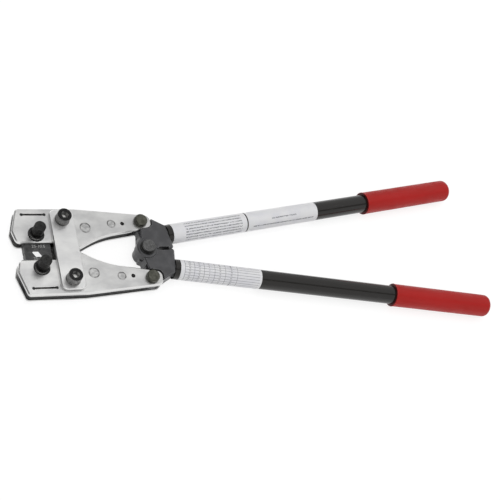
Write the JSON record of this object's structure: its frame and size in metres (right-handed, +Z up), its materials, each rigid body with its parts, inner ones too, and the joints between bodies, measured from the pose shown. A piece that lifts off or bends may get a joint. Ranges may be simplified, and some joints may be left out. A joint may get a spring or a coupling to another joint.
{
  "type": "long-arm crimping tool",
  "caption": "Long-arm crimping tool: link-hinged jaw plates with turning hexagon dies, closed by cast toggle levers on tube handles with red grips.",
  "frame": {"origin": "middle of the bounding box at its base, with the closed tool lying on the nuts of its link bolts", "axes": "+X from the jaws to the handle ends, +Y across to the upper handle, +Z up along the pivot bolts"},
  "size_m": [0.6414, 0.2104, 0.0425],
  "materials": {
    "satin_nickel": "satin nickel plating, slightly cloudy",
    "dark_steel": "dark oiled steel",
    "bright_steel": "turned bright steel",
    "spring_steel": "spring steel",
    "black_oxide": "black oxide",
    "black_casting": "black painted casting",
    "black_enamel": "gloss black enamel",
    "red_grip": "smooth red dipped vinyl",
    "label_film": "silvery white film"
  },
  "bodies": {
    "link": {"link_front_plate": "satin_nickel", "link_back_plate": "satin_nickel", "upper_link_bolt": "black_oxide", "lower_link_bolt": "black_oxide", "upper_link_nut": "black_oxide", "lower_link_nut": "black_oxide"},
    "centre_pivot": {"centre_bolt": "bright_steel", "centre_washer": "black_oxide", "centre_nut": "black_oxide"},
    "upper_lever": {"upper_lever_casting": "black_casting", "upper_handle_tube": "black_enamel", "upper_handle_grip": "red_grip", "upper_front_label": "label_film", "upper_rear_label": "label_film"},
    "lower_lever": {"lower_lever_casting": "black_casting", "lower_handle_tube": "black_enamel", "lower_handle_grip": "red_grip", "lower_label": "label_film"},
    "upper_jaw": {"upper_jaw_front_plate": "satin_nickel", "upper_jaw_back_plate": "satin_nickel", "upper_jaw_spacer": "dark_steel", "upper_jaw_main_rivet": "satin_nickel", "upper_jaw_arm_rivet": "satin_nickel", "upper_jaw_arm_bolt": "black_oxide", "upper_jaw_arm_nut": "black_oxide", "upper_die_turret": "black_oxide", "upper_detent_spring": "spring_steel", "upper_button_spring": "spring_steel"},
    "lower_jaw": {"lower_jaw_front_plate": "satin_nickel", "lower_jaw_back_plate": "satin_nickel", "lower_jaw_spacer": "dark_steel", "lower_jaw_main_rivet": "satin_nickel", "lower_jaw_arm_rivet": "satin_nickel", "lower_jaw_arm_bolt": "black_oxide", "lower_jaw_arm_nut": "black_oxide", "lower_die_turret": "black_oxide", "lower_detent_spring": "spring_steel", "lower_button_spring": "spring_steel"},
    "upper_lock_button": {"upper_lock_button": "black_oxide", "upper_button_clip": "spring_steel"},
    "lower_lock_button": {"lower_lock_button": "black_oxide", "lower_button_clip": "spring_steel"}
  },
  "joints": [
    {"name": "upper_handle_open", "type": "hinge", "parent": "centre_pivot", "child": "upper_lever", "pos_m": [-0.16431, 0, 0.01515], "axis": [0, 0, 1], "range_deg": [0, 45]},
    {"name": "lower_handle_open", "type": "hinge", "parent": "centre_pivot", "child": "lower_lever", "pos_m": [-0.16431, 0, 0.01515], "axis": [0, 0, 1], "range_deg": [-45.01, 0.01]},
    {"name": "centre_pivot_slide", "type": "slide", "parent": "link", "child": "centre_pivot", "axis": [1, 0, 0], "range_m": [-0.00001, 0.02522]},
    {"name": "upper_jaw_open", "type": "hinge", "parent": "link", "child": "upper_jaw", "pos_m": [-0.26161, 0.038, 0.01515], "axis": [0, 0, 1], "range_deg": [-6.59, 0.01]},
    {"name": "lower_jaw_open", "type": "hinge", "parent": "link", "child": "lower_jaw", "pos_m": [-0.26161, -0.038, 0.01515], "axis": [0, 0, 1], "range_deg": [-0.01, 6.59]},
    {"name": "upper_lock_button_push", "type": "slide", "parent": "upper_jaw", "child": "upper_lock_button", "axis": [0, 0, -1], "range_m": [0, 0.003], "stiffness_N_per_m": 900, "springref_m": -0.004, "deforming": ["upper_button_spring"]},
    {"name": "lower_lock_button_push", "type": "slide", "parent": "lower_jaw", "child": "lower_lock_button", "axis": [0, 0, -1], "range_m": [0, 0.003], "stiffness_N_per_m": 900, "springref_m": -0.004, "deforming": ["lower_button_spring"]}
  ],
  "couplings": [
    {"joint": "lower_handle_open", "follows": "upper_handle_open", "ratio": -1},
    {"joint": "centre_pivot_slide", "follows": "upper_handle_open", "m_per_rad": 0.0321},
    {"joint": "upper_jaw_open", "follows": "upper_handle_open", "ratio": -0.14614},
    {"joint": "lower_jaw_open", "follows": "upper_handle_open", "ratio": 0.14614}
  ]
}
